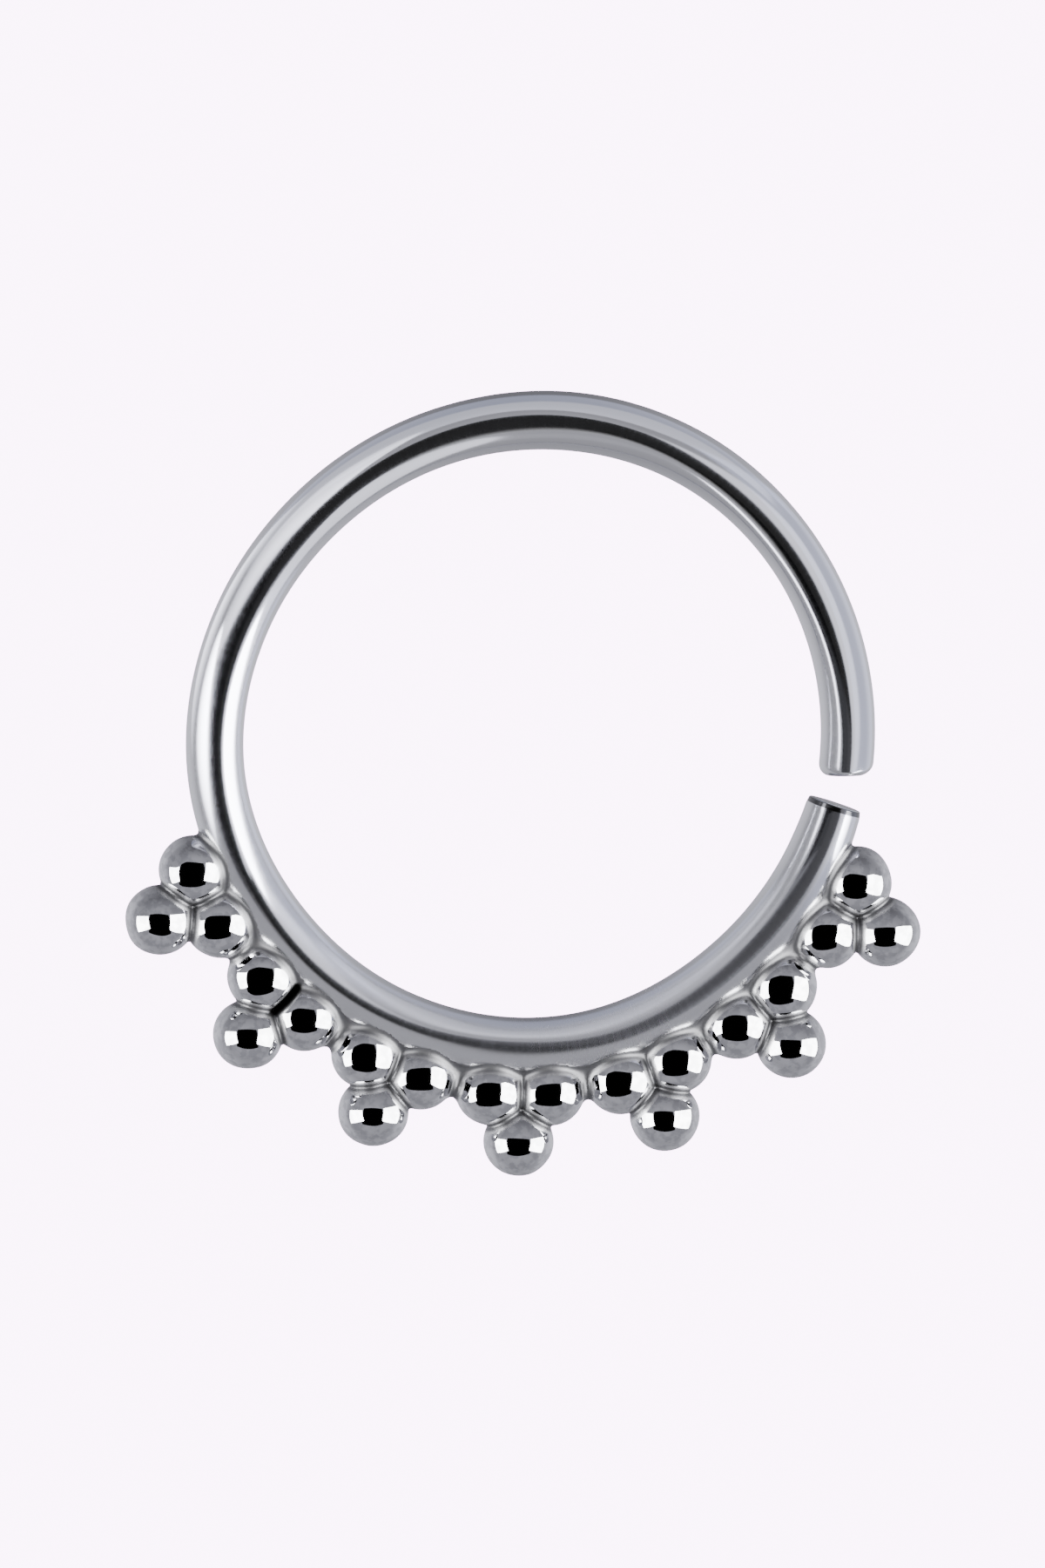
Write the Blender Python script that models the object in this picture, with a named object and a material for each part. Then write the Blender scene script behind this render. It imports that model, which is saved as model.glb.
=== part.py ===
"""Beaded cluster hoop: a split ring of round wire with fused balls, all one piece of metal.

The hoop lies on its side. Metres, +Z up. The origin is on the surface that the balls
rest on, under the middle of the whole hoop's box.
"""
import math

import bmesh
import bpy
from mathutils import Matrix, Vector

MM = 0.001

# Wire
HOOP_INNER_DIAMETER = 10.0 * MM
WIRE_DIAMETER = 1.0 * MM
OPENING_WIDTH = 0.51 * MM
OPENING_ANGLE = math.radians(-11.85)
UPPER_END_ROUND = 0.27 * MM
LOWER_CUT_SLANT = math.radians(-4.5)

# Balls and the solder between them
BALL_DIAMETER = 1.23 * MM
BALL_SINK = 0.285 * MM
BALL_OVERLAP = 0.19 * MM
CLUSTER_CLEARANCE = 0.01 * MM
TAIL_LENGTH = 1.1 * MM
NECK_DIAMETER = 0.54 * MM
SOLDER_BEAD_DIAMETER = 0.5 * MM

# The hand-bent wire, from its upper end round to its lower end. along is a share of the way
# round, outward is the offset from the true circle and width the thickness, both as shares
# of the wire's diameter.
WIRE_COURSE = (
    # along, outward, width
    (0.00, 0.045, 0.95),
    (0.06, 0.010, 0.95),
    (0.13, 0.002, 0.95),
    (0.20, 0.018, 0.99),
    (0.26, 0.010, 1.02),
    (0.32, -0.010, 1.00),
    (0.40, -0.028, 1.00),
    (0.47, 0.000, 1.00),
    (0.55, 0.050, 1.00),
    (0.64, -0.018, 1.00),
    (0.72, 0.004, 1.00),
    (0.81, 0.034, 1.00),
    (0.90, -0.052, 0.99),
    (0.975, -0.045, 0.98),
    (1.00, -0.030, 0.90),
)

# The hand-set clusters, from the one next to the wire's lower end. slip is along the row, as
# a share of the step between clusters, and lift is away from the wire, as a share of a
# ball's diameter.
CLUSTERS = (
    # slip, lift
    (0.000, 0.003),
    (0.017, 0.019),
    (0.037, 0.020),
    (0.034, 0.012),
    (0.021, -0.023),
    (0.004, -0.019),
    (0.009, 0.000),
)

# Fineness of the faceted surfaces
WIRE_SECTIONS = 96
WIRE_SIDES = 16
ROUND_STEPS = 4
BALL_SIDES = 16
BALL_BANDS = 8
BALL_TURN = math.radians(7.0)
NECK_SIDES = 12
BEAD_SECTIONS = 48
BEAD_SIDES = 8

STEEL_COLOUR = (0.70, 0.71, 0.74, 1.0)
STEEL_ROUGHNESS = 0.08

# Sizes that follow from the ones above
HOOP_RADIUS = (HOOP_INNER_DIAMETER + WIRE_DIAMETER) / 2
UPPER_END_ANGLE = OPENING_ANGLE + OPENING_WIDTH / 2 / HOOP_RADIUS
LOWER_END_ANGLE = OPENING_ANGLE - OPENING_WIDTH / 2 / HOOP_RADIUS + math.tau
WIRE_SWEEP = LOWER_END_ANGLE - UPPER_END_ANGLE
BALL_SPACING = BALL_DIAMETER - BALL_OVERLAP
INNER_ROW_RADIUS = HOOP_RADIUS + WIRE_DIAMETER / 2 + BALL_DIAMETER / 2 - BALL_SINK


def clear_scene():
    for old in list(bpy.data.objects):
        bpy.data.objects.remove(old, do_unlink=True)


def polar(radius, angle):
    """The point of the hoop's middle plane at a radius and an angle."""
    return Vector((radius * math.cos(angle), radius * math.sin(angle), 0))


def chord_angle(radius, chord):
    """The angle that a chord of a circle spans."""
    return 2 * math.asin(chord / 2 / radius)


def smooth_value(rows, along, column):
    """A column's value between a table's rows, on a smooth curve through them."""
    index = 0
    while index < len(rows) - 2 and along > rows[index + 1][0]:
        index += 1
    before, start, end, after = (
        rows[min(max(index + step, 0), len(rows) - 1)] for step in (-1, 0, 1, 2)
    )
    span = end[0] - start[0]
    share = (along - start[0]) / span
    start_slope = (end[column] - before[column]) / (end[0] - before[0]) * span
    end_slope = (after[column] - start[column]) / (after[0] - start[0]) * span
    square, cube = share ** 2, share ** 3
    return (
        start[column] * (2 * cube - 3 * square + 1)
        + end[column] * (3 * square - 2 * cube)
        + start_slope * (cube - 2 * square + share)
        + end_slope * (cube - square)
    )


def wire_stations():
    """Each section of the wire: how far along it is, and how much its radius is cut back."""
    stations = []
    sweep_length = WIRE_SWEEP * HOOP_RADIUS
    for step in range(ROUND_STEPS):
        turn = math.pi / 2 * step / ROUND_STEPS
        distance = UPPER_END_ROUND * (1 - math.cos(turn))
        stations.append((distance / sweep_length, UPPER_END_ROUND * (1 - math.sin(turn))))
    first = UPPER_END_ROUND / sweep_length
    for step in range(WIRE_SECTIONS + 1):
        stations.append((first + (1 - first) * step / WIRE_SECTIONS, 0))
    return stations


def wire_middle(along):
    """The radius of the wire's middle line at a share of the way round."""
    return HOOP_RADIUS + WIRE_DIAMETER * smooth_value(WIRE_COURSE, along, 1)


def wire_thickness(along):
    """The wire's diameter at a share of the way round."""
    return WIRE_DIAMETER * smooth_value(WIRE_COURSE, along, 2)


def sweep(mesh, sections, sides):
    """A bent rod through round sections, each a middle radius, an angle, a slant and a radius."""
    rings = []
    for middle, angle, slant, radius in sections:
        outward = polar(1, angle + slant)
        ring = []
        for side in range(sides):
            turn = math.tau * side / sides
            reach = outward * math.cos(turn) + Vector((0, 0, 1)) * math.sin(turn)
            ring.append(mesh.verts.new(polar(middle, angle) + reach * radius))
        rings.append(ring)
    faces = [mesh.faces.new(rings[0]), mesh.faces.new(rings[-1])]
    for ring, following in zip(rings, rings[1:]):
        for side in range(sides):
            other = (side + 1) % sides
            faces.append(mesh.faces.new((ring[side], ring[other], following[other], following[side])))
    bmesh.ops.recalc_face_normals(mesh, faces=faces)


def build_wire():
    """The wire, rounded over at its upper end and cut flat at its lower end."""
    mesh = bmesh.new()
    sections = []
    stations = wire_stations()
    for station in stations:
        along, cut_back = station
        angle = UPPER_END_ANGLE + WIRE_SWEEP * along
        slant = LOWER_CUT_SLANT if station is stations[-1] else 0
        sections.append((wire_middle(along), angle, slant, wire_thickness(along) / 2 - cut_back))
    sweep(mesh, sections, WIRE_SIDES)
    return mesh


def cluster_balls():
    """The middles of each cluster's balls: the two on the wire, then the outer one."""
    half_angle = chord_angle(INNER_ROW_RADIUS, BALL_SPACING) / 2
    apart = chord_angle(INNER_ROW_RADIUS, BALL_DIAMETER + CLUSTER_CLEARANCE)
    step = 2 * half_angle + apart
    first = LOWER_END_ANGLE - TAIL_LENGTH / HOOP_RADIUS - half_angle
    outer_radius = INNER_ROW_RADIUS * math.cos(half_angle) + BALL_SPACING * math.sqrt(3) / 2
    clusters = []
    for number, (slip, lift) in enumerate(CLUSTERS):
        angle = first - (number - slip) * step
        raise_by = lift * BALL_DIAMETER
        clusters.append((
            polar(INNER_ROW_RADIUS + raise_by, angle + half_angle),
            polar(INNER_ROW_RADIUS + raise_by, angle - half_angle),
            polar(outer_radius + raise_by, angle),
        ))
    return clusters


def add_ball(mesh, middle):
    """One ball, turned so that no two neighbours' facets mirror each other."""
    turn = Matrix.Rotation(math.atan2(middle.y, middle.x) + BALL_TURN, 4, "Z")
    bmesh.ops.create_uvsphere(
        mesh,
        u_segments=BALL_SIDES,
        v_segments=BALL_BANDS,
        radius=BALL_DIAMETER / 2,
        matrix=Matrix.Translation(middle) @ turn,
    )


def add_neck(mesh, start, end):
    """The solder between two neighbouring balls, as a short rod from middle to middle."""
    run = end - start
    turn = run.to_track_quat("Z", "Y").to_matrix().to_4x4()
    bmesh.ops.create_cone(
        mesh,
        cap_ends=True,
        segments=NECK_SIDES,
        radius1=NECK_DIAMETER / 2,
        radius2=NECK_DIAMETER / 2,
        depth=run.length,
        matrix=Matrix.Translation((start + end) / 2) @ turn,
    )


def angle_of(point):
    """The angle of a point of the row of balls, counted on from the wire's upper end."""
    return math.atan2(point.y, point.x) % math.tau


def add_solder_bead(mesh, start, end):
    """The solder along the wire's outside, under the row of balls from its one end to its other."""
    sections = []
    for step in range(BEAD_SECTIONS + 1):
        angle = start + (end - start) * step / BEAD_SECTIONS
        along = (angle - UPPER_END_ANGLE) / WIRE_SWEEP
        middle = wire_middle(along) + wire_thickness(along) / 2
        sections.append((middle, angle, 0, SOLDER_BEAD_DIAMETER / 2))
    sweep(mesh, sections, BEAD_SIDES)


def build_balls():
    """All the balls, and the solder between neighbouring clusters and along the wire."""
    mesh = bmesh.new()
    clusters = cluster_balls()
    for cluster in clusters:
        for middle in cluster:
            add_ball(mesh, middle)
    for cluster, following in zip(clusters, clusters[1:]):
        add_neck(mesh, cluster[1], following[0])
    add_solder_bead(mesh, angle_of(clusters[-1][1]), angle_of(clusters[0][0]))
    return mesh


def move_to_origin(meshes):
    """Put the origin under the middle of the whole box, at its lowest point."""
    points = [vert.co for mesh in meshes for vert in mesh.verts]
    low = Vector([min(point[axis] for point in points) for axis in range(3)])
    high = Vector([max(point[axis] for point in points) for axis in range(3)])
    shift = Vector((-(low.x + high.x) / 2, -(low.y + high.y) / 2, -low.z))
    for mesh in meshes:
        bmesh.ops.translate(mesh, verts=mesh.verts, vec=shift)


def steel():
    material = bpy.data.materials.new("polished_steel")
    material.use_nodes = True
    shader = material.node_tree.nodes["Principled BSDF"]
    shader.inputs["Base Color"].default_value = STEEL_COLOUR
    shader.inputs["Metallic"].default_value = 1.0
    shader.inputs["Roughness"].default_value = STEEL_ROUGHNESS
    return material


def make_object(name, mesh, material):
    data = bpy.data.meshes.new(name)
    mesh.to_mesh(data)
    mesh.free()
    data.materials.append(material)
    data.shade_smooth()
    data.set_sharp_from_angle(angle=math.radians(50))
    made = bpy.data.objects.new(name, data)
    bpy.context.scene.collection.objects.link(made)
    return made


def fuse(body, addition):
    """Melt an object into a body, so that both are one closed surface."""
    join = body.modifiers.new("fuse", "BOOLEAN")
    join.operation = "UNION"
    join.solver = "EXACT"
    join.use_self = True
    join.object = addition
    addition.hide_render = True
    addition.display_type = "WIRE"


def main():
    clear_scene()
    wire = build_wire()
    balls = build_balls()
    move_to_origin((wire, balls))
    material = steel()
    hoop = make_object("beaded_hoop", wire, material)
    fuse(hoop, make_object("ball_clusters", balls, material))


main()
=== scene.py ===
"""Looks of the beaded cluster hoop: polished steel wire with a cast row of mirror-bright balls.

Lengths are in millimetres, and MM turns them into the scene's metres. Points are worked out
round the hoop's middle and then moved into the frame.
"""
import math

import bpy
import numpy as np
from mathutils import Matrix, Vector


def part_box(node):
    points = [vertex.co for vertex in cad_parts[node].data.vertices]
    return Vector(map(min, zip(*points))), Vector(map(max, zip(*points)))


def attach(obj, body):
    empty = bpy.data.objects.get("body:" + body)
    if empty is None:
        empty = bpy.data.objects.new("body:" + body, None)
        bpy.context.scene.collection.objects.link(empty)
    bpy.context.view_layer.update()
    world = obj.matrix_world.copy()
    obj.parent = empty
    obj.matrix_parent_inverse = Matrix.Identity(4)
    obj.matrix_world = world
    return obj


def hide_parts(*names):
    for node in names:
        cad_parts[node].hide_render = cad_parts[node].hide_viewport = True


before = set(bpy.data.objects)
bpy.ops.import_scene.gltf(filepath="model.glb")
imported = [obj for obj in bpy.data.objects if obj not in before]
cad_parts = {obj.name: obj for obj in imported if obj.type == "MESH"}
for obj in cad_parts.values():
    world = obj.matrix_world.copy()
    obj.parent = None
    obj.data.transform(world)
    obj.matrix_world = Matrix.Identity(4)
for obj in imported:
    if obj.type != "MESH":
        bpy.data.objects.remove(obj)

MM = 0.001
TAU = math.tau

# Wire
HOOP_INNER_DIAMETER = 10.0
WIRE_DIAMETER = 1.0
OPENING_WIDTH = 0.51
OPENING_ANGLE = math.radians(-11.85)

# The wire's upper end, rounded over, less so on its top and bottom. Both ends are cut a little
# out of square: slant is in the hoop's plane and lean is a share of the height over it.
UPPER_END_ROUND = 0.24
UPPER_TOP_ROUND = 0.10
UPPER_CUT_SLANT = math.radians(9)
UPPER_CUT_LEAN = 0.16

# The wire's lower end, cut off sharp, with painted shade of its cut edge as a dark band between two
# distances from its end
LOWER_END_ROUND = 0.04
LOWER_END_TAPER = 0.016
LOWER_TAPER_LENGTH = 0.18
LOWER_CUT_SLANT = math.radians(-4.5)
LOWER_CUT_LEAN = 0.08
EDGE_SHADE_FROM, EDGE_SHADE_TO = 0.012, 0.10

# Balls and the solder between them
BALL_DIAMETER = 1.23
BALL_SINK = 0.285
BALL_OVERLAP = 0.19
CLUSTER_CLEARANCE = 0.01
TAIL_LENGTH = 1.1
NECK_DIAMETER = 0.50
SOLDER_BEAD_DIAMETER = 0.5

# The hand-bent wire, from its upper end round to its lower end. along is a share of the way
# round, outward is the offset from the true circle and width the thickness, both as shares
# of the wire's diameter.
WIRE_COURSE = (
    # along, outward, width
    (0.00, 0.045, 0.95),
    (0.06, 0.010, 0.95),
    (0.13, 0.002, 0.95),
    (0.20, 0.018, 0.99),
    (0.26, 0.010, 1.02),
    (0.32, -0.010, 1.00),
    (0.40, -0.028, 1.00),
    (0.47, 0.000, 1.00),
    (0.55, 0.050, 1.00),
    (0.64, -0.018, 1.00),
    (0.72, 0.004, 1.00),
    (0.81, 0.034, 1.00),
    (0.90, -0.052, 0.99),
    (0.975, -0.031, 1.01),
    (1.00, -0.019, 0.955),
)

# The hand-set clusters, from the one next to the wire's lower end. slip is along the row, as
# a share of the step between clusters, and lift is away from the wire, as a share of a
# ball's diameter.
CLUSTERS = (
    # slip, lift
    (0.000, 0.003),
    (0.017, 0.019),
    (0.037, 0.020),
    (0.034, 0.012),
    (0.021, -0.023),
    (0.004, -0.019),
    (0.009, 0.000),
)

# The drawn wire is a little crowned along its top and bottom
CROWN_HEIGHT = 0.044

# How bending and polishing by hand left the wire: turn is how far its crown leans outward,
# in degrees, crown is the crown's width and roughness is that of its finish
WIRE_FINISH = (
    # along, turn, crown, roughness
    (0.00, -7, 0.12, 0.17),
    (0.06, -14, 0.15, 0.15),
    (0.13, -24, 0.20, 0.14),
    (0.19, -10, 0.19, 0.14),
    (0.25, 15, 0.18, 0.14),
    (0.30, 24, 0.18, 0.15),
    (0.36, 12, 0.16, 0.14),
    (0.42, -8, 0.14, 0.17),
    (0.50, -4, 0.12, 0.18),
    (0.58, -2, 0.12, 0.20),
    (0.66, 6, 0.12, 0.22),
    (0.72, -5, 0.12, 0.24),
    (0.78, -20, 0.15, 0.26),
    (0.84, -6, 0.18, 0.27),
    (0.92, -9, 0.21, 0.22),
    (1.00, 1, 0.26, 0.15),
)

# Melted joints: how far the metal flows together, and the row's flare onto the wire
CLUSTER_MELT = 0.07
NECK_MELT = 0.12
WIRE_MELT = 0.13
FLARE_REACH = 0.9 * WIRE_MELT

# The open slot that the solder left between two balls on the wire
SLOT_CLUSTER = 5
SLOT_RADII = (5.98, 6.55)
SLOT_WIDTH = 0.11
SLOT_FLOOR = 0.10

# The tops of the balls on the wire are a little flattened by polishing
CAP_RADIUS_SHARE = 1.27
CAP_EDGE_ANGLE = math.radians(36)
CAP_BLEND = 0.006

# Casting unevenness: height of the waves, how far they stay below the true shape and their
# lengths
WAVE_HEIGHT = 0.0016
WAVE_SINK = 0.004
WAVE_LENGTHS = (0.5, 1.2)
WAVE_COUNT = 14
WAVE_SEED = 7

# Bare steel: its colours, as red, green and blue shares of the light that it returns, and its
# roughness. Some of the colours are painted shade, as noted at each.
STEEL_COLOUR = (0.74, 0.74, 0.76)
SMUDGE_COLOUR = (0.56, 0.56, 0.58)
# The joints' colour: painted shade in the creases between the balls, with dark oxide
JOINT_SHADE_AND_OXIDE_COLOUR = (0.15, 0.15, 0.157)
# The next colour is painted shade, near black, in the slot's recess
SLOT_SHADE_COLOUR = (0.02, 0.02, 0.02)
# The next colour is painted shade of the cut edge at the wire's lower end
EDGE_SHADE_COLOUR = (0.12, 0.12, 0.12)
BALL_ROUGHNESS = 0.04
JOINT_ROUGHNESS = 0.46

# How far from a joint, the solder and the slot the metal looks different, darker there with painted
# shade
JOINT_REACH = 0.24
WIRE_JOINT_REACH = 0.55
SOLDER_REACH = 0.11
# How far the painted shade reaches out of the slot
SLOT_SHADE_REACH = 0.05

# The part of each pattern over which the looks change. Scales are in waves to a millimetre.
CLOUD_SCALE = (7.0, 7.0, 7.0)
CLOUD_DETAIL = 5
SMUDGED_CLOUDS = (0.42, 0.60)
# Where the joints darken with painted shade and dark oxide
SHADE_AND_OXIDE_JOINTS = (0.25, 0.75)
DULL_JOINTS = (0.15, 0.50)
GRAIN_SCALE = (14.0, 1.6, 1.6)
GRAIN_DETAIL = 3
GRAIN_MARKS = (0.35, 0.65)
GRAIN_SPREAD = (0.94, 1.06)

# Fineness of the meshes. The row's points are pulled onto its surface in a few rounds.
ROW_CELL = 0.042
ROW_MARGIN_CELLS = 3
PULL_ROUNDS = 4
LEAST_SLOPE_SQUARE = 0.2
SLOPE_STEP = 0.002
WIRE_SECTIONS = 420
WIRE_SIDES = 96
END_STEPS = 10
TAPER_STEPS = 20
COURSE_SAMPLES = 2000
SHARP_ANGLE = math.radians(60)

# How far the meshes stay inside the box of the solid
BOX_MARGIN = 0.0005

# Sizes that follow from the ones above
HOOP_RADIUS = (HOOP_INNER_DIAMETER + WIRE_DIAMETER) / 2
BALL_RADIUS = BALL_DIAMETER / 2
UPPER_END_ANGLE = OPENING_ANGLE + OPENING_WIDTH / 2 / HOOP_RADIUS
LOWER_END_ANGLE = OPENING_ANGLE - OPENING_WIDTH / 2 / HOOP_RADIUS + TAU
WIRE_SWEEP = LOWER_END_ANGLE - UPPER_END_ANGLE
WIRE_LENGTH = WIRE_SWEEP * HOOP_RADIUS
BALL_SPACING = BALL_DIAMETER - BALL_OVERLAP
INNER_ROW_RADIUS = HOOP_RADIUS + WIRE_DIAMETER / 2 + BALL_RADIUS - BALL_SINK


def polar(radius, angle):
    """The point of the hoop's middle plane at a radius and an angle."""
    return np.array((radius * math.cos(angle), radius * math.sin(angle), 0.0))


def chord_angle(radius, chord):
    """The angle that a chord of a circle spans."""
    return 2 * math.asin(chord / 2 / radius)


def smooth_value(rows, along, column):
    """A column's value between a table's rows, on a smooth curve through them."""
    index = 0
    while index < len(rows) - 2 and along > rows[index + 1][0]:
        index += 1
    before, start, end, after = (
        rows[min(max(index + step, 0), len(rows) - 1)] for step in (-1, 0, 1, 2)
    )
    span = end[0] - start[0]
    share = (along - start[0]) / span
    start_slope = (end[column] - before[column]) / (end[0] - before[0]) * span
    end_slope = (after[column] - start[column]) / (after[0] - start[0]) * span
    square, cube = share ** 2, share ** 3
    return (
        start[column] * (2 * cube - 3 * square + 1)
        + end[column] * (3 * square - 2 * cube)
        + start_slope * (cube - 2 * square + share)
        + end_slope * (cube - square)
    )


COURSE_ALONG = np.linspace(0, 1, COURSE_SAMPLES)
COURSE_OUTWARD = np.array([smooth_value(WIRE_COURSE, a, 1) for a in COURSE_ALONG])
COURSE_WIDTH = np.array([smooth_value(WIRE_COURSE, a, 2) for a in COURSE_ALONG])
COURSE_TURN = np.radians([smooth_value(WIRE_FINISH, a, 1) for a in COURSE_ALONG])
COURSE_CROWN = np.array([smooth_value(WIRE_FINISH, a, 2) for a in COURSE_ALONG])
COURSE_ROUGHNESS = np.array([smooth_value(WIRE_FINISH, a, 3) for a in COURSE_ALONG])


def wire_middle(along):
    """The radius of the wire's middle line at shares of the way round."""
    return HOOP_RADIUS + WIRE_DIAMETER * np.interp(along, COURSE_ALONG, COURSE_OUTWARD)


def wire_half(along):
    """Half the wire's thickness at shares of the way round."""
    return WIRE_DIAMETER / 2 * np.interp(along, COURSE_ALONG, COURSE_WIDTH)


def crown(along, off, height):
    """How far the wire's crown stands out, at points outward of and above its middle line."""
    turn = np.interp(along, COURSE_ALONG, COURSE_TURN)
    width = np.interp(along, COURSE_ALONG, COURSE_CROWN)
    aside = off * np.cos(turn) - height * np.sin(turn)
    return CROWN_HEIGHT * np.exp(-((aside / width) ** 2) / 2)


def cluster_balls():
    """The middles of each cluster's balls: the two on the wire, then the outer one."""
    half_angle = chord_angle(INNER_ROW_RADIUS, BALL_SPACING) / 2
    apart = chord_angle(INNER_ROW_RADIUS, BALL_DIAMETER + CLUSTER_CLEARANCE)
    step = 2 * half_angle + apart
    first = LOWER_END_ANGLE - TAIL_LENGTH / HOOP_RADIUS - half_angle
    outer_radius = INNER_ROW_RADIUS * math.cos(half_angle) + BALL_SPACING * math.sqrt(3) / 2
    clusters = []
    for number, (slip, lift) in enumerate(CLUSTERS):
        angle = first - (number - slip) * step
        raise_by = lift * BALL_DIAMETER
        clusters.append((
            polar(INNER_ROW_RADIUS + raise_by, angle + half_angle),
            polar(INNER_ROW_RADIUS + raise_by, angle - half_angle),
            polar(outer_radius + raise_by, angle),
        ))
    return clusters


CLUSTER_BALLS = cluster_balls()
BALLS = np.array([ball for cluster in CLUSTER_BALLS for ball in cluster])


def angle_of(point):
    """The angle of a point, counted on from the wire's upper end."""
    return math.atan2(point[1], point[0]) % TAU


BEAD_START = angle_of(CLUSTER_BALLS[-1][1])
BEAD_END = angle_of(CLUSTER_BALLS[0][0])


def hoop_middle():
    """Where the hoop's middle is in the frame: its own box, set on the box of the solid."""
    angles = UPPER_END_ANGLE + WIRE_SWEEP * COURSE_ALONG
    rim = wire_middle(COURSE_ALONG) + wire_half(COURSE_ALONG)
    edge = np.stack((rim * np.cos(angles), rim * np.sin(angles)), axis=1)
    low = np.minimum(BALLS[:, :2].min(axis=0) - BALL_RADIUS, edge.min(axis=0))
    high = np.maximum(BALLS[:, :2].max(axis=0) + BALL_RADIUS, edge.max(axis=0))
    solid_low, solid_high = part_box("beaded_hoop")
    solid_middle = np.array((solid_low + solid_high) / 2) / MM
    return solid_middle - np.array((*((low + high) / 2), 0.0))


# Fields: signed distances, below nought inside the metal

def melt(first, second, reach):
    """Two shapes flowed together with a fillet."""
    near = np.maximum(reach - np.abs(first - second), 0) / reach
    return np.minimum(first, second) - near ** 2 * reach / 4


def carve(first, second, reach):
    """What two shapes share, with the edge between them eased."""
    return -melt(-first, -second, reach)


def ball_field(points, middle, flattened):
    """A ball, whose top and bottom are a little flatter where it is polished."""
    away = points - middle
    ball = np.linalg.norm(away, axis=-1) - BALL_RADIUS
    if not flattened:
        return ball
    cap_radius = BALL_RADIUS * CAP_RADIUS_SHARE
    edge = BALL_RADIUS * math.sin(CAP_EDGE_ANGLE)
    drop = math.sqrt(cap_radius ** 2 - edge ** 2) - BALL_RADIUS * math.cos(CAP_EDGE_ANGLE)
    cap = np.sqrt(away[..., 0] ** 2 + away[..., 1] ** 2 + (np.abs(away[..., 2]) + drop) ** 2)
    return carve(ball, cap - cap_radius, CAP_BLEND)


def rod_field(points, start, end, radius):
    """A straight rod with round ends."""
    run = end - start
    share = np.clip((points - start) @ run / (run @ run), 0, 1)
    return np.linalg.norm(points - start - share[..., None] * run, axis=-1) - radius


def bead_field(points):
    """The solder along the wire's outside, under the row of balls."""
    angle = np.mod(np.arctan2(points[..., 1], points[..., 0]), TAU)
    angle = np.clip(angle, BEAD_START, BEAD_END)
    along = (angle - UPPER_END_ANGLE) / WIRE_SWEEP
    radius = wire_middle(along) + wire_half(along)
    off = np.hypot(points[..., 0] - radius * np.cos(angle), points[..., 1] - radius * np.sin(angle))
    return np.hypot(off, points[..., 2]) - SOLDER_BEAD_DIAMETER / 2


def neck_fields(points):
    """The necks of solder between the clusters, each on its own."""
    for balls, following in zip(CLUSTER_BALLS, CLUSTER_BALLS[1:]):
        yield rod_field(points, balls[1], following[0], NECK_DIAMETER / 2)


def solder_field(points):
    """All the solder alone."""
    return np.minimum.reduce([bead_field(points), *neck_fields(points)])


def wire_field(points):
    """The wire away from its ends."""
    angle = np.mod(np.arctan2(points[..., 1], points[..., 0]) - UPPER_END_ANGLE, TAU)
    along = np.clip(angle / WIRE_SWEEP, 0, 1)
    off = np.hypot(points[..., 0], points[..., 1]) - wire_middle(along)
    height = points[..., 2]
    return np.hypot(off, height) - wire_half(along) - crown(along, off, height)


def make_waves():
    """Directions and phases of the waves that make cast metal uneven."""
    chance = np.random.default_rng(WAVE_SEED)
    directions = chance.normal(size=(WAVE_COUNT, 3))
    directions /= np.linalg.norm(directions, axis=1)[:, None]
    lengths = chance.uniform(*WAVE_LENGTHS, WAVE_COUNT)
    phases = chance.uniform(0, TAU, WAVE_COUNT)
    return directions * (TAU / lengths)[:, None], phases


WAVES = make_waves()


def slot_field(points):
    """The open slot between two balls, from its floor up."""
    left, right, _ = CLUSTER_BALLS[SLOT_CLUSTER]
    angle = (angle_of(left) + angle_of(right)) / 2
    inner, outer = (polar(radius, angle) for radius in SLOT_RADII)
    sunk = points.copy()
    sunk[..., 2] -= np.maximum(points[..., 2], SLOT_FLOOR + SLOT_WIDTH / 2)
    return rod_field(sunk, inner, outer, SLOT_WIDTH / 2)


def unevenness(points):
    """The height of the waves at each point."""
    total = np.zeros(points.shape[:-1])
    for direction, phase in zip(*WAVES):
        total += np.sin(points @ direction + phase)
    return WAVE_HEIGHT * total + WAVE_SINK


def balls_field(points):
    """All the balls and the necks of solder between the clusters."""
    total = None
    for *on_wire, outer in CLUSTER_BALLS:
        first, second = (ball_field(points, ball, flattened=True) for ball in on_wire)
        pair = melt(first, second, CLUSTER_MELT)
        cluster = melt(pair, ball_field(points, outer, flattened=False), CLUSTER_MELT)
        total = cluster if total is None else melt(total, cluster, CLUSTER_MELT)
    for neck in neck_fields(points):
        total = melt(total, neck, NECK_MELT)
    return total


def row_field(points):
    """The cast row: balls, necks and the solder along the wire, a little uneven."""
    row = melt(balls_field(points), bead_field(points), NECK_MELT) + unevenness(points)
    return carve(row, -slot_field(points), SLOT_WIDTH / 2)


def fused_field(points):
    """The row melted onto the wire."""
    return melt(row_field(points), wire_field(points), WIRE_MELT)


def row_piece_field(points):
    """The row melted onto the wire, but cut off inside it at the end of the row's flare."""
    row = row_field(points)
    fused = melt(row, wire_field(points), WIRE_MELT)
    return np.maximum(fused, row - FLARE_REACH)


def slopes(field, points):
    """The direction in which a field grows fastest, and how fast."""
    grown = np.empty_like(points)
    for axis in range(3):
        ahead = np.zeros(3)
        ahead[axis] = SLOPE_STEP
        grown[:, axis] = field(points + ahead) - field(points - ahead)
    return grown / (2 * SLOPE_STEP)


def corner_values(grid, corner):
    """A grid's values at the same one of the eight corners of each of its cells."""
    return grid[tuple(slice(c, c + size - 1) for c, size in zip(corner, grid.shape))]


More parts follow.
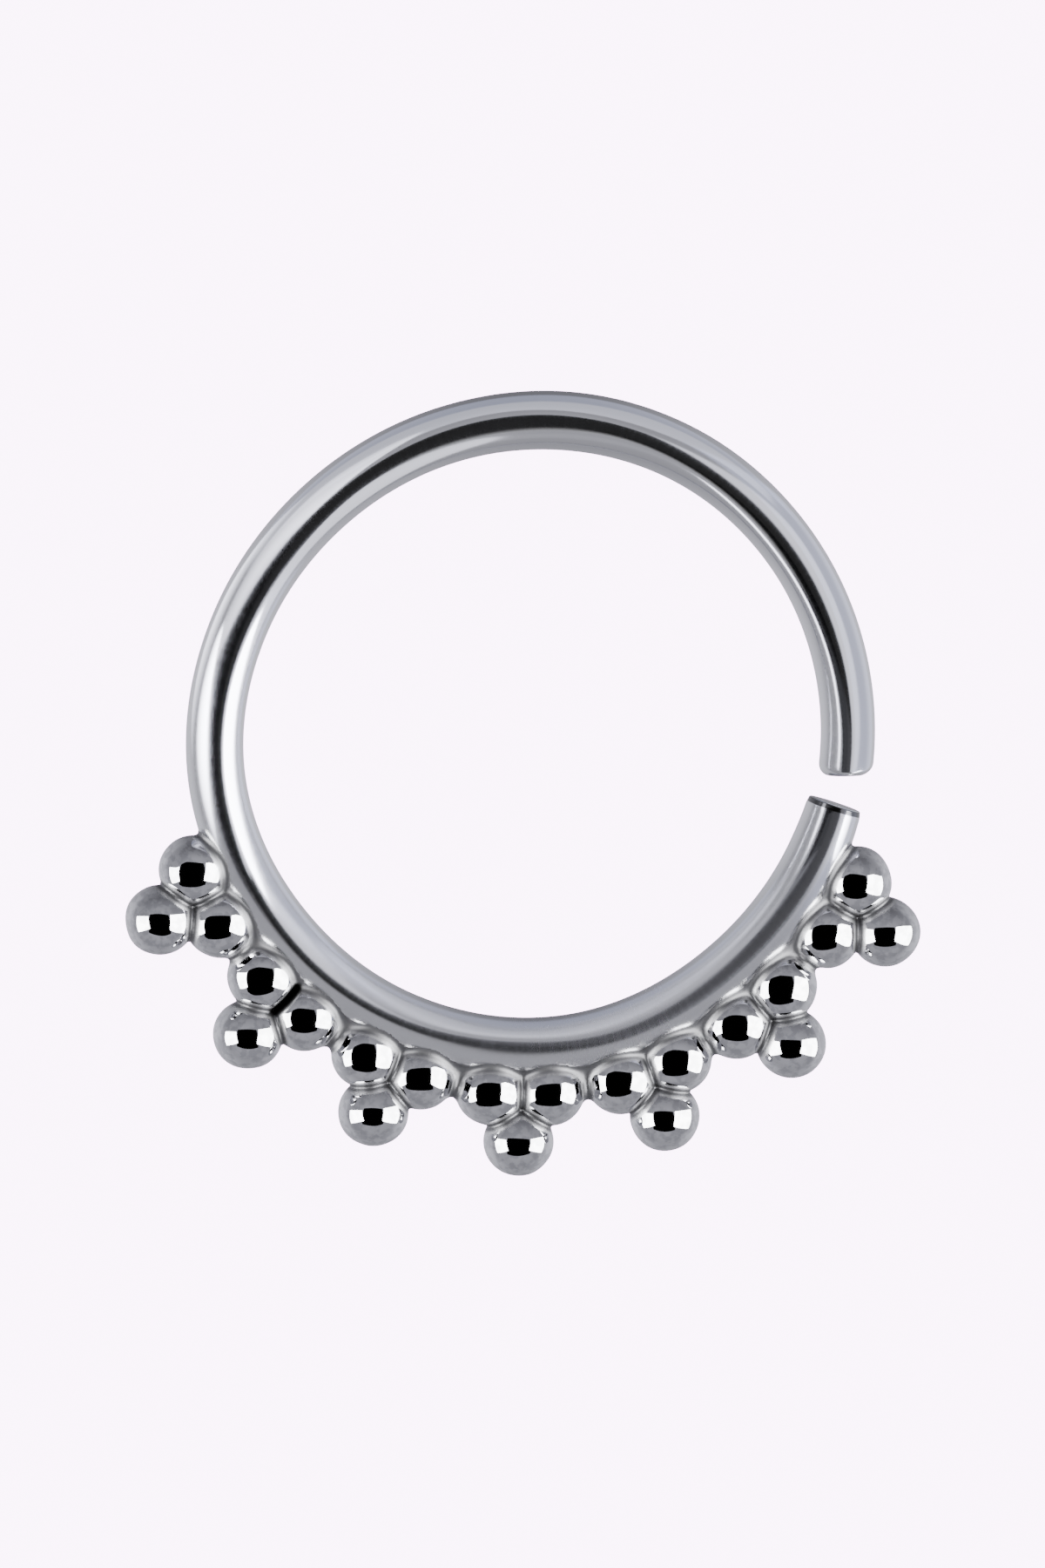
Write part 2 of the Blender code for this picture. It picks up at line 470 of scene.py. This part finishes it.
def net_points(values):
    """A point in each cell that the surface crosses, and those cells' numbers. Others have -1."""
    inside = values < 0
    cells = tuple(size - 1 for size in values.shape)
    total = np.zeros((*cells, 3))
    hits = np.zeros(cells)
    corners = [(i, j, k) for i in (0, 1) for j in (0, 1) for k in (0, 1)]
    edges = [(corner, axis) for corner in corners for axis in range(3) if not corner[axis]]
    for start, axis in edges:
        end = tuple(c + (a == axis) for a, c in enumerate(start))
        crossed = corner_values(inside, start) != corner_values(inside, end)
        first, second = (corner_values(values, corner)[crossed] for corner in (start, end))
        place = np.tile(np.array(start, float), (first.size, 1))
        place[:, axis] += first / (first - second)
        total[crossed] += place
        hits[crossed] += 1
    used = hits > 0
    number = np.full(cells, -1)
    number[used] = np.arange(used.sum())
    return np.argwhere(used) + total[used] / hits[used][:, None], number


def net_faces(values, number):
    """A four-sided face round each edge of the grid that the surface crosses."""
    inside = values < 0
    cells = number.shape
    faces = []
    for axis in range(3):
        others = [(axis + 1) % 3, (axis + 2) % 3]
        window = [slice(None)] * 3
        window[axis] = slice(0, cells[axis])
        ahead = [slice(None)] * 3
        ahead[axis] = slice(1, cells[axis] + 1)
        for other in others:
            window[other] = ahead[other] = slice(1, cells[other])
        here, there = inside[tuple(window)], inside[tuple(ahead)]
        for going_out in (True, False):
            edges = np.argwhere(here & ~there if going_out else ~here & there)
            edges[:, others] += 1
            ring = []
            for back in ((1, 1), (0, 1), (0, 0), (1, 0)):
                spot = edges.copy()
                spot[:, others[0]] -= back[0]
                spot[:, others[1]] -= back[1]
                ring.append(number[tuple(spot.T)])
            quads = np.stack(ring, axis=1)
            faces.append(quads if going_out else quads[:, ::-1])
    return np.concatenate(faces)


def row_surface():
    """The cast row's surface, with its flare onto the wire, as points and faces."""
    margin = BALL_RADIUS + ROW_MARGIN_CELLS * ROW_CELL
    low = BALLS.min(axis=0) - margin
    high = BALLS.max(axis=0) + margin
    axes = [np.arange(low[a], high[a] + ROW_CELL, ROW_CELL) for a in range(3)]
    values = np.empty([axis.size for axis in axes])
    flat = np.stack(np.meshgrid(axes[1], axes[2], indexing="ij"), axis=-1)
    for index, x in enumerate(axes[0]):
        points = np.concatenate((np.full((*flat.shape[:2], 1), x), flat), axis=-1)
        values[index] = row_piece_field(points)
    places, number = net_points(values)
    points = places * ROW_CELL + low
    for _ in range(PULL_ROUNDS):
        slope = slopes(row_piece_field, points)
        size = np.maximum((slope ** 2).sum(axis=1), LEAST_SLOPE_SQUARE)
        points = points - slope * (row_piece_field(points) / size)[:, None]
    return points, net_faces(values, number)


def add_piece(name, points, faces, middle, normals=None):
    """A mesh object from points round the hoop's middle, kept inside the box of the solid."""
    low, high = (np.array(corner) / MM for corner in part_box("beaded_hoop"))
    points = np.clip(points + middle, low + BOX_MARGIN, high - BOX_MARGIN)
    mesh = bpy.data.meshes.new(name)
    mesh.from_pydata((points * MM).tolist(), [], [face.tolist() for face in faces])
    mesh.validate()
    mesh.shade_smooth()
    if normals is not None:
        mesh.normals_split_custom_set_from_vertices(normals.tolist())
    made = bpy.data.objects.new(name, mesh)
    bpy.context.scene.collection.objects.link(made)
    return made


def set_values(mesh, name, values):
    """A named value for each point of a mesh, which its material can read."""
    layer = mesh.attributes.new(name, "FLOAT", "POINT")
    layer.data.foreach_set("value", np.asarray(values, np.float32))


def build_row(middle):
    """The cast row of balls."""
    points, faces = row_surface()
    normals = slopes(fused_field, points)
    normals /= np.linalg.norm(normals, axis=1)[:, None]
    row = add_piece("ball_row", points, faces, middle, normals)
    from_wire = wire_field(points)
    from_balls = [np.linalg.norm(points - ball, axis=1) - BALL_RADIUS for ball in BALLS]
    nearest, next_nearest = np.sort([*from_balls, from_wire], axis=0)[:2]
    reach = np.where(from_wire == nearest, WIRE_JOINT_REACH, JOINT_REACH)
    joint = np.clip(1 - (next_nearest - nearest) / reach, 0, 1)
    solder = np.clip(1 - solder_field(points) / SOLDER_REACH, 0, 1)
    set_values(row.data, "joint", np.maximum(joint, solder))
    # Where the slot gets its painted shade
    set_values(row.data, "slot_shade", np.clip(1 - slot_field(points) / SLOT_SHADE_REACH, 0, 1))
    return row


def wire_stations(turns):
    """Each section of the wire: how far round its points are and how far its edge is cut back."""
    upper_round = UPPER_END_ROUND * np.cos(turns) ** 2 + UPPER_TOP_ROUND * np.sin(turns) ** 2
    taper_start = 1 - LOWER_TAPER_LENGTH / WIRE_LENGTH
    round_start = 1 - LOWER_END_ROUND / WIRE_LENGTH
    plain = np.ones(turns.size)
    # The upper end, rounded over
    for step in range(END_STEPS):
        turn = TAU / 4 * step / END_STEPS
        yield upper_round * (1 - math.cos(turn)) / WIRE_LENGTH, upper_round * (1 - math.sin(turn))
    # The wire between its ends
    for step in range(WIRE_SECTIONS + 1):
        share = step / WIRE_SECTIONS
        yield upper_round / WIRE_LENGTH * (1 - share) + taper_start * share, 0 * plain
    # The taper before the lower end
    for step in range(1, TAPER_STEPS + 1):
        share = step / TAPER_STEPS
        before_round = (LOWER_TAPER_LENGTH - LOWER_END_ROUND) * share
        cut_back = LOWER_END_TAPER * share ** 2
        yield (taper_start + before_round / WIRE_LENGTH) * plain, cut_back * plain
    # The rounded edge of the lower end
    for step in range(1, END_STEPS + 1):
        turn = TAU / 4 * step / END_STEPS
        along = round_start + LOWER_END_ROUND * math.sin(turn) / WIRE_LENGTH
        cut_back = LOWER_END_TAPER + LOWER_END_ROUND * (1 - math.cos(turn))
        yield along * plain, cut_back * plain


def wire_section(along, cut_back, turns):
    """One section of the wire: its points, and the same points as if the wire were straight."""
    slant_reach = WIRE_DIAMETER / WIRE_LENGTH
    angle = UPPER_END_ANGLE + WIRE_SWEEP * along
    near_start = np.maximum(0, 1 - along / slant_reach) ** 2
    near_end = np.maximum(0, 1 - (1 - along) / slant_reach) ** 2
    facing = angle + UPPER_CUT_SLANT * near_start + LOWER_CUT_SLANT * near_end
    half = wire_half(along)
    reach = half + crown(along, half * np.cos(turns), half * np.sin(turns)) - cut_back
    off, height = reach * np.cos(turns), reach * np.sin(turns)
    lean = (UPPER_CUT_LEAN * near_start + LOWER_CUT_LEAN * near_end) * height
    points = np.stack((
        wire_middle(along) * np.cos(angle) + off * np.cos(facing) - lean * np.sin(angle),
        wire_middle(along) * np.sin(angle) + off * np.sin(facing) + lean * np.cos(angle),
        height,
    ), axis=1)
    return points, np.stack((along * WIRE_LENGTH, off, height), axis=1)


def tube_faces(sections):
    """The faces of a closed tube: its side, and its two ends round a hub each."""
    first, second = np.arange(WIRE_SIDES), (np.arange(WIRE_SIDES) + 1) % WIRE_SIDES
    faces = []
    for section in range(sections - 1):
        here, there = section * WIRE_SIDES, (section + 1) * WIRE_SIDES
        faces.extend(np.stack((here + first, there + first, there + second, here + second), 1))
    last = (sections - 1) * WIRE_SIDES
    hub = np.full(WIRE_SIDES, sections * WIRE_SIDES)
    faces.extend(np.stack((first, second, hub), 1))
    faces.extend(np.stack((last + second, last + first, hub + 1), 1))
    return faces


def build_wire(middle):
    """The wire: crowned sections swept round, rounded over at one end and cut at the other."""
    turns = np.arange(WIRE_SIDES) * TAU / WIRE_SIDES
    points, shares, grains = [], [], []
    for along, cut_back in wire_stations(turns):
        section, straight = wire_section(along, cut_back, turns)
        points.append(section)
        shares.append(along)
        grains.append(straight)
    hubs = [points[0].mean(axis=0)[None], points[-1].mean(axis=0)[None]]
    wire = add_piece("wire", np.concatenate(points + hubs), tube_faces(len(points)), middle)
    wire.data.set_sharp_from_angle(angle=SHARP_ANGLE)
    along = np.concatenate((*shares, (0, 1)))
    from_end = (1 - along) * WIRE_LENGTH
    set_values(wire.data, "finish", np.interp(along, COURSE_ALONG, COURSE_ROUGHNESS))
    # The band near the lower end that gets painted shade of the cut edge
    set_values(wire.data, "edge_shade", (from_end > EDGE_SHADE_FROM) & (from_end < EDGE_SHADE_TO))
    grain = wire.data.attributes.new("grain", "FLOAT_VECTOR", "POINT")
    hub_grains = ((0, 0, 0), (WIRE_LENGTH, 0, 0))
    grain.data.foreach_set("vector", np.concatenate((*grains, hub_grains)).ravel())
    return wire


# Materials

def metal(name):
    """A bare metal, and its node tree and shader."""
    material = bpy.data.materials.new(name)
    material.use_nodes = True
    tree = material.node_tree
    shader = tree.nodes["Principled BSDF"]
    shader.inputs["Metallic"].default_value = 1.0
    return material, tree, shader


def read_value(tree, name):
    """A value that was set for each point of the mesh."""
    node = tree.nodes.new("ShaderNodeAttribute")
    node.attribute_name = name
    return node.outputs["Fac"]


def remap(tree, value, low, high, first, second):
    """A value between low and high, turned into one between first and second."""
    node = tree.nodes.new("ShaderNodeMapRange")
    node.interpolation_type = "SMOOTHSTEP"
    tree.links.new(value, node.inputs["Value"])
    names = ("From Min", "From Max", "To Min", "To Max")
    for name, number in zip(names, (low, high, first, second)):
        node.inputs[name].default_value = number
    return node.outputs["Result"]


def compute(tree, operation, first, second):
    """The sum, product or the like of two values."""
    node = tree.nodes.new("ShaderNodeMath")
    node.operation = operation
    for socket, value in zip(node.inputs, (first, second)):
        if isinstance(value, (int, float)):
            socket.default_value = value
        else:
            tree.links.new(value, socket)
    return node.outputs["Value"]


def noise(tree, place, scale, detail):
    """A cloudy pattern over a place, so many waves to each of its units."""
    mapping = tree.nodes.new("ShaderNodeMapping")
    mapping.inputs["Scale"].default_value = scale
    tree.links.new(place, mapping.inputs["Vector"])
    node = tree.nodes.new("ShaderNodeTexNoise")
    node.inputs["Scale"].default_value = 1.0
    node.inputs["Detail"].default_value = detail
    tree.links.new(mapping.outputs["Vector"], node.inputs["Vector"])
    return node.outputs["Fac"]


def tone(tree, share, first, second):
    """A colour between two others, each a colour or an output."""
    node = tree.nodes.new("ShaderNodeMix")
    node.data_type = "RGBA"
    colours = [socket for socket in node.inputs if socket.type == "RGBA"]
    for socket, colour in zip(colours, (first, second)):
        if isinstance(colour, tuple):
            socket.default_value = (*colour, 1)
        else:
            tree.links.new(colour, socket)
    tree.links.new(share, node.inputs["Factor"])
    return next(socket for socket in node.outputs if socket.type == "RGBA")


def row_steel():
    """Mirror-bright cast steel, dull in the joints between the balls and darker there with painted
    shade and dark oxide, and near black with painted shade in the slot.
    """
    material, tree, shader = metal("cast_steel")
    joint = read_value(tree, "joint")
    place = tree.nodes.new("ShaderNodeTexCoord").outputs["Object"]
    cloud = noise(tree, place, [scale / MM for scale in CLOUD_SCALE], CLOUD_DETAIL)
    smudge = remap(tree, cloud, *SMUDGED_CLOUDS, 0, 1)
    polished = tone(tree, smudge, STEEL_COLOUR, SMUDGE_COLOUR)
    # Darker joints: painted shade in the creases, with dark oxide
    shade_and_oxide = remap(tree, joint, *SHADE_AND_OXIDE_JOINTS, 0, 1)
    shaded_and_oxidised = tone(tree, shade_and_oxide, polished, JOINT_SHADE_AND_OXIDE_COLOUR)
    # Painted shade, near black, in the slot between two balls
    slot_shade = tone(tree, read_value(tree, "slot_shade"), shaded_and_oxidised, SLOT_SHADE_COLOUR)
    tree.links.new(slot_shade, shader.inputs["Base Color"])
    roughness = remap(tree, joint, *DULL_JOINTS, BALL_ROUGHNESS, JOINT_ROUGHNESS)
    tree.links.new(roughness, shader.inputs["Roughness"])
    return material


def wire_steel():
    """Drawn wire, with a finish that varies along it and polishing marks round it."""
    material, tree, shader = metal("wire_steel")
    place = tree.nodes.new("ShaderNodeAttribute")
    place.attribute_name = "grain"
    grain = noise(tree, place.outputs["Vector"], GRAIN_SCALE, GRAIN_DETAIL)
    marks = remap(tree, grain, *GRAIN_MARKS, *GRAIN_SPREAD)
    roughness = compute(tree, "MULTIPLY", read_value(tree, "finish"), marks)
    tree.links.new(roughness, shader.inputs["Roughness"])
    # Painted shade of the cut edge: a dark band near the wire's lower end
    edge_shade = tone(tree, read_value(tree, "edge_shade"), STEEL_COLOUR, EDGE_SHADE_COLOUR)
    tree.links.new(edge_shade, shader.inputs["Base Color"])
    return material


# Stage, camera and lights

VIEW_TILT_UP = math.radians(11.11)
VIEW_TILT_LEFT = math.radians(7.84)
VIEW_DISTANCE = 250.0
FRAME_WIDTH, FRAME_HEIGHT = 1200, 1800
PIXELS_PER_MM = 66.28
HOOP_PIXEL = (611.7, 842.2)
SENSOR = 36.0
CLIP_NEAR, CLIP_FAR = 0.001, 10

FLOOR_REACH = 600.0
FLOOR_COLOUR = (0.8, 0.8, 0.8, 1)
FLOOR_GLOW = (1.0, 0.74, 1.06, 1)
FLOOR_GLOW_STRENGTH = 9.8
LIGHT_DISTANCE = 600.0

# The dark card's left, right, bottom and top, as angles from the view
CARD_ANGLES = (-39, 35, -51, 15)
CARD_COLOUR = (0, 0, 0, 1)

WHITE = (1, 1, 1)
BLUISH = (0.84, 0.92, 1.34)
PALE_BLUE = (0.94, 0.96, 1.12)
COOL_WHITE = (0.965, 0.97, 1.085)

# The big lights, by angles from the view
SOFTBOXES = (
    # name, left, right, bottom, top, brightness, colour, lit piece
    ("left_softbox", -84, -39, -33, 7, 15, WHITE, "row"),
    ("right_softbox", 35, 96, -34, 15, 15, WHITE, "row"),
    ("upper_sky", -60, 60, 45, 88, 0.6, PALE_BLUE, "wire"),
    ("back_sky", -60, 60, 88, 118, 0.28, BLUISH, "wire"),
    ("right_sky", 50, 125, -40, 38, 0.37, BLUISH, "wire"),
    ("right_glow", 33, 66, -30, 17, 0.85, COOL_WHITE, "wire"),
    ("front_fill", -36, 34, -50, 15, 0.02, WHITE, "wire"),
    ("lower_fill", -22, 26, -52, -44, 0.20, WHITE, "wire"),
)

# Small panels close to the wire, in millimetres from the hoop's middle. Each faces along an
# angle in the hoop's plane, from its right-hand side, dips below it and is rolled about its
# own middle. A spread below 180 degrees is that of a grid, and its brightness is then the one
# seen at the grid angle.
PANELS = (
    # name, x, y, height, facing, dip, roll, length, width, spread, brightness
    ("left_outer_panel", -7.4, -0.2, 0.90, 0, 42, 0, 5.6, 1.5, 76, 14),
    ("left_rim_panel", -7.0, 2.4, 0.15, -20, -35, 0, 8.0, 1.8, 76, 2.0),
    ("left_inner_panel", -3.5, -0.5, 1.65, 180, 0, -14, 4.0, 1.9, 180, 15),
    ("upper_left_panel", -6.4, 5.2, 1.85, -40, 48, 0, 10.0, 2.6, 92, 2.2),
    ("upper_inner_panel", -2.5, 0.3, 2.15, 140, 0, 0, 7.5, 3.7, 180, 1.1),
    ("lower_inner_panel", 0.5, -2.0, 2.60, -90, 0, 0, 8.0, 2.0, 180, 0.25),
    ("upper_end_panel", 2.1, 0.4, 2.15, 0, 0, 0, 3.4, 0.9, 180, 5.0),
    ("lower_end_panel", 6.6, -2.1, 0.90, 162, 42, 0, 1.8, 1.1, 76, 14),
    ("lower_front_panel", 5.3, -4.3, 5.50, 75, 89, 0, 11.0, 7.4, 180, 0.065),
)
OPEN_SPREAD = 180
GRID_ANGLE = math.radians(15)

# The brightness of the studio above, below and beside the view, by height towards the
# camera, from straight behind the hoop at -1 to the camera at 1
SURROUNDINGS = (
    # height, above, below, beside
    (-1.00, 0.25, 0.46, 1.00),
    (-0.60, 0.22, 0.46, 1.00),
    (-0.28, 0.24, 0.43, 0.85),
    (0.00, 0.21, 0.43, 0.50),
    (0.28, 0.21, 0.48, 0.45),
    (0.50, 0.28, 0.50, 0.45),
    (0.67, 0.36, 0.50, 0.45),
    (0.81, 0.42, 0.50, 0.50),
    (1.00, 0.52, 0.62, 0.60),
)
SURROUNDINGS_COLOUR = (0.96, 0.96, 1.06, 1)
HORIZON_BLEND = 0.15

# Straight along the view a ray runs neither up nor aside, and this keeps it from a division by
# nought
LEAST_SQUARE = 0.0001


def view_axes():
    """The camera's right, up and back directions in the frame."""
    tilt = Matrix.Rotation(VIEW_TILT_UP, 3, "X") @ Matrix.Rotation(VIEW_TILT_LEFT, 3, "Y")
    return tilt.transposed()


def add_camera(middle):
    """The camera, set so that the hoop's middle falls on its place in the picture."""
    axes = view_axes()
    aside = (HOOP_PIXEL[0] - FRAME_WIDTH / 2) / PIXELS_PER_MM
    above = -(HOOP_PIXEL[1] - FRAME_HEIGHT / 2) / PIXELS_PER_MM
    place = Vector(middle) + axes @ Vector((-aside, -above, VIEW_DISTANCE))
    data = bpy.data.cameras.new("camera")
    data.sensor_width = SENSOR
    data.lens = SENSOR * PIXELS_PER_MM * VIEW_DISTANCE / max(FRAME_WIDTH, FRAME_HEIGHT)
    data.clip_start, data.clip_end = CLIP_NEAR, CLIP_FAR
    camera = bpy.data.objects.new("camera", data)
    camera.matrix_world = Matrix.Translation(place * MM) @ axes.to_4x4()
    bpy.context.scene.collection.objects.link(camera)
    bpy.context.scene.camera = camera


def view_direction(tree, direction):
    """How far a ray into the world runs in one of the view's directions, from -1 to 1."""
    place = tree.nodes.new("ShaderNodeTexCoord")
    node = tree.nodes.new("ShaderNodeVectorMath")
    node.operation = "DOT_PRODUCT"
    node.inputs[1].default_value = tuple(view_axes() @ Vector(direction))
    tree.links.new(place.outputs["Generated"], node.inputs[0])
    return node.outputs["Value"]


def remap_straight(tree, value):
    """A value from -1 to 1 as one from 0 to 1."""
    return compute(tree, "MULTIPLY", compute(tree, "ADD", value, 1.0), 0.5)


def ramp(tree, value, column):
    """The brightness in one column of the surroundings' table, at a height from -1 to 1."""
    node = tree.nodes.new("ShaderNodeFloatCurve")
    curve = node.mapping.curves[0]
    node.mapping.use_clip = False
    rows = [((row[0] + 1) / 2, row[column]) for row in SURROUNDINGS]
    curve.points[0].location = rows[0]
    curve.points[-1].location = rows[-1]
    for place in rows[1:-1]:
        curve.points.new(*place)
    node.mapping.update()
    tree.links.new(remap_straight(tree, value), node.inputs["Value"])
    return node.outputs["Value"]


def add_world():
    """A dim studio, darkest above the view."""
    world = bpy.data.worlds.new("studio")
    bpy.context.scene.world = world
    world.use_nodes = True
    tree = world.node_tree
    height = view_direction(tree, (0, 0, 1))
    rise = view_direction(tree, (0, 1, 0))
    aside = view_direction(tree, (1, 0, 0))
    upper = remap(tree, rise, -HORIZON_BLEND, HORIZON_BLEND, 0, 1)
    lower = remap(tree, rise, -HORIZON_BLEND, HORIZON_BLEND, 1, 0)
    above = compute(tree, "MULTIPLY", ramp(tree, height, 1), upper)
    below = compute(tree, "MULTIPLY", ramp(tree, height, 2), lower)
    lengthwise = compute(tree, "ADD", above, below)
    rise_square = compute(tree, "MULTIPLY", rise, rise)
    aside_square = compute(tree, "MULTIPLY", aside, aside)
    both = compute(tree, "MAXIMUM", compute(tree, "ADD", rise_square, aside_square), LEAST_SQUARE)
    share = compute(tree, "DIVIDE", aside_square, both)
    sideways = compute(tree, "MULTIPLY", ramp(tree, height, 3), share)
    rest = compute(tree, "MULTIPLY", lengthwise, compute(tree, "SUBTRACT", 1.0, share))
    background = tree.nodes["Background"]
    background.inputs["Color"].default_value = SURROUNDINGS_COLOUR
    tree.links.new(compute(tree, "ADD", sideways, rest), background.inputs["Strength"])


def sheet(name, centre, right, up, half_width, half_height, material):
    """A flat rectangle of the stage."""
    corners = [
        centre + right * (half_width * i) + up * (half_height * j)
        for i, j in ((-1, -1), (1, -1), (1, 1), (-1, 1))
    ]
    mesh = bpy.data.meshes.new(name)
    mesh.from_pydata([tuple(corner * MM) for corner in corners], [], [(0, 1, 2, 3)])
    mesh.materials.append(material)
    made = bpy.data.objects.new(name, mesh)
    bpy.context.scene.collection.objects.link(made)
    return made


def add_floor():
    """A pale backlit table, which the metal doesn't mirror."""
    material = bpy.data.materials.new("floor")
    material.use_nodes = True
    shader = material.node_tree.nodes["Principled BSDF"]
    shader.inputs["Base Color"].default_value = FLOOR_COLOUR
    shader.inputs["Roughness"].default_value = 1.0
    shader.inputs["Emission Color"].default_value = FLOOR_GLOW
    shader.inputs["Emission Strength"].default_value = FLOOR_GLOW_STRENGTH
    right, up = Vector((1, 0, 0)), Vector((0, 1, 0))
    floor = sheet("floor", Vector((0, 0, 0)), right, up, FLOOR_REACH, FLOOR_REACH, material)
    floor.visible_glossy = False
    floor.visible_shadow = False


def facing_axes(across, upward):
    """The right, up and outward directions of something seen at two angles from the view."""
    axes = view_axes()
    level = Vector((math.sin(across), 0, math.cos(across)))
    outward = level * math.cos(upward) + Vector((0, math.sin(upward), 0))
    right = Vector((math.cos(across), 0, -math.sin(across)))
    return axes @ right, axes @ outward.cross(right), axes @ outward


def spans(row):
    """The middle angles of a left, right, bottom and top angle, and the half sizes between them.

    The half sizes are those at a millimetre away.
    """
    left, right, bottom, top = (math.radians(angle) for angle in row)
    sizes = (math.tan((right - left) / 2), math.tan((top - bottom) / 2))
    return (left + right) / 2, (bottom + top) / 2, *sizes


def add_card(middle):
    """The dark card round the camera, which only the metal's reflections show."""
    material = bpy.data.materials.new("dark_card")
    material.use_nodes = True
    shader = material.node_tree.nodes["Principled BSDF"]
    shader.inputs["Base Color"].default_value = CARD_COLOUR
    shader.inputs["Specular IOR Level"].default_value = 0.0
    across, upward, half_width, half_height = spans(CARD_ANGLES)
    right, up, outward = facing_axes(across, upward)
    centre = Vector(middle) + outward * LIGHT_DISTANCE
    half_sizes = (half_width * LIGHT_DISTANCE, half_height * LIGHT_DISTANCE)
    card = sheet("dark_card", centre, right, up, *half_sizes, material)
    card.visible_camera = False
    card.visible_diffuse = False
    card.visible_shadow = False


def add_light(name, shape, centre, axes, sizes, brightness, colour, piece):
    """A flat soft light, of a brightness as seen from the front, for one of the pieces."""
    data = bpy.data.lights.new(name, "AREA")
    data.shape = shape
    data.size, data.size_y = (size * MM for size in sizes)
    data.color = colour
    fill = 1 if shape == "RECTANGLE" else math.pi / 4
    data.energy = brightness * math.pi * fill * data.size * data.size_y
    light = bpy.data.objects.new(name, data)
    light.matrix_world = Matrix.Translation(centre * MM) @ Matrix(axes).transposed().to_4x4()
    light.visible_camera = False
    lit = bpy.data.collections.new(name)
    lit.objects.link(piece)
    light.light_linking.receiver_collection = lit
    bpy.context.scene.collection.objects.link(light)
    return light


def add_softboxes(middle, pieces):
    """The big lights of the studio."""
    for name, left, right, bottom, top, brightness, colour, lit in SOFTBOXES:
        across, upward, half_width, half_height = spans((left, right, bottom, top))
        axes = facing_axes(across, upward)
        centre = Vector(middle) + axes[2] * LIGHT_DISTANCE
        sizes = (2 * half_width * LIGHT_DISTANCE, 2 * half_height * LIGHT_DISTANCE)
        add_light(name, "RECTANGLE", centre, axes, sizes, brightness, colour, pieces[lit])


def add_panels(middle, wire):
    """The small panels close over the wire."""
    for name, x, y, height, facing, dip, roll, length, width, spread, brightness in PANELS:
        facing, dip, roll = (math.radians(angle) for angle in (facing, dip, roll))
        level = Vector((math.cos(facing), math.sin(facing), 0))
        outward = Vector((0, 0, math.sin(dip))) - level * math.cos(dip)
        right = Matrix.Rotation(roll, 3, outward) @ Vector((0, 0, 1)).cross(outward).normalized()
        axes = (right, outward.cross(right), outward)
        centre = Vector(middle) + Vector((x, y, height))
        # A grid bundles the light's power forwards, so this brings it back to the table's value
        if spread < OPEN_SPREAD:
            half = math.radians(spread) / 2
            brightness *= (math.tan(half) - half) / (math.tan(half) - math.tan(GRID_ANGLE))
        sizes = (length, width)
        light = add_light(name, "ELLIPSE", centre, axes, sizes, brightness, COOL_WHITE, wire)
        light.data.spread = math.radians(spread)


def main():
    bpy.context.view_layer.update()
    middle = hoop_middle()
    pieces = {"row": build_row(middle), "wire": build_wire(middle)}
    pieces["row"].data.materials.append(row_steel())
    pieces["wire"].data.materials.append(wire_steel())
    for piece in pieces.values():
        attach(piece, "root")
        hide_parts("beaded_hoop")
    add_camera(middle)
    add_world()
    add_floor()
    add_card(middle)
    add_softboxes(middle, pieces)
    add_panels(middle, pieces["wire"])


main()
